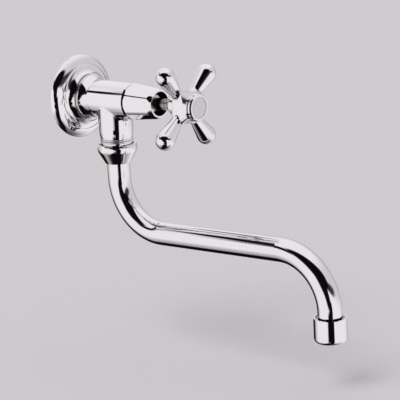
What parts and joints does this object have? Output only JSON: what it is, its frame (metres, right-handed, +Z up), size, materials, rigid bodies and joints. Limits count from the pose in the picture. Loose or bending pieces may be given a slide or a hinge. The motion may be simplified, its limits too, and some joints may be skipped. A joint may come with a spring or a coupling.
{
  "type": "wall-mounted sink faucet",
  "caption": "Wall-mounted sink faucet: round wall flange, short body with a tapered hexagon bonnet, cross handle on a screw-down valve, and a swivelling bent tube spout with an aerator.",
  "frame": {"origin": "on the inlet axis, in the plane of the wall that the flange's rim rests on", "axes": "+Y into the wall along the inlet, -Y out into the room, +Z up, +X to the right as seen from the room"},
  "size_m": [0.0654, 0.269, 0.1945],
  "materials": {
    "chrome_plate": "mirror-polished chrome plating on brass",
    "brass": "bright turned brass",
    "nickel_plate": "bright nickel plating on brass",
    "black_rubber": "smooth nitrile rubber",
    "spring_steel": "bright stainless steel",
    "white_polymer": "matte moulded acetal",
    "red_fibre": "vulcanised fibre",
    "index_white": "glossy pale grey-white plastic, bare"
  },
  "bodies": {
    "body": {"wall_flange": "chrome_plate", "valve_body": "chrome_plate", "headwork_gasket": "red_fibre", "headwork_housing": "nickel_plate", "thrust_washer": "white_polymer", "bonnet_shroud": "chrome_plate", "union_nut": "chrome_plate"},
    "handle": {"spindle": "nickel_plate", "spindle_o_rings": "black_rubber", "spindle_circlip": "spring_steel", "cross_handle": "chrome_plate", "handle_screw": "spring_steel", "index_cap": "chrome_plate", "index_disc": "index_white"},
    "valve": {"valve_carrier": "brass", "seat_washer": "black_rubber", "washer_screw": "brass"},
    "spout": {"spout_sleeve": "brass", "spout_o_rings": "black_rubber", "spout_glide_ring": "white_polymer", "spout_tube": "chrome_plate", "outlet_nipple": "chrome_plate", "aerator_gasket": "black_rubber", "aerator_insert": "white_polymer", "aerator_screens": "spring_steel", "aerator_housing": "chrome_plate"}
  },
  "joints": [
    {"name": "handle_turn", "type": "hinge", "parent": "body", "child": "handle", "pos_m": [0, -0.11065, 0], "axis": [0, -1, 0], "range_deg": [0, 675]},
    {"name": "valve_lift", "type": "slide", "parent": "body", "child": "valve", "axis": [0, -1, 0], "range_m": [0, 0.0047]},
    {"name": "spout_swivel", "type": "hinge", "parent": "body", "child": "spout", "pos_m": [0, -0.0368, -0.045], "axis": [0, 0, 1], "range_deg": [-95, 95]}
  ],
  "couplings": [
    {"joint": "valve_lift", "follows": "handle_turn", "m_per_rad": 0.00039789}
  ]
}
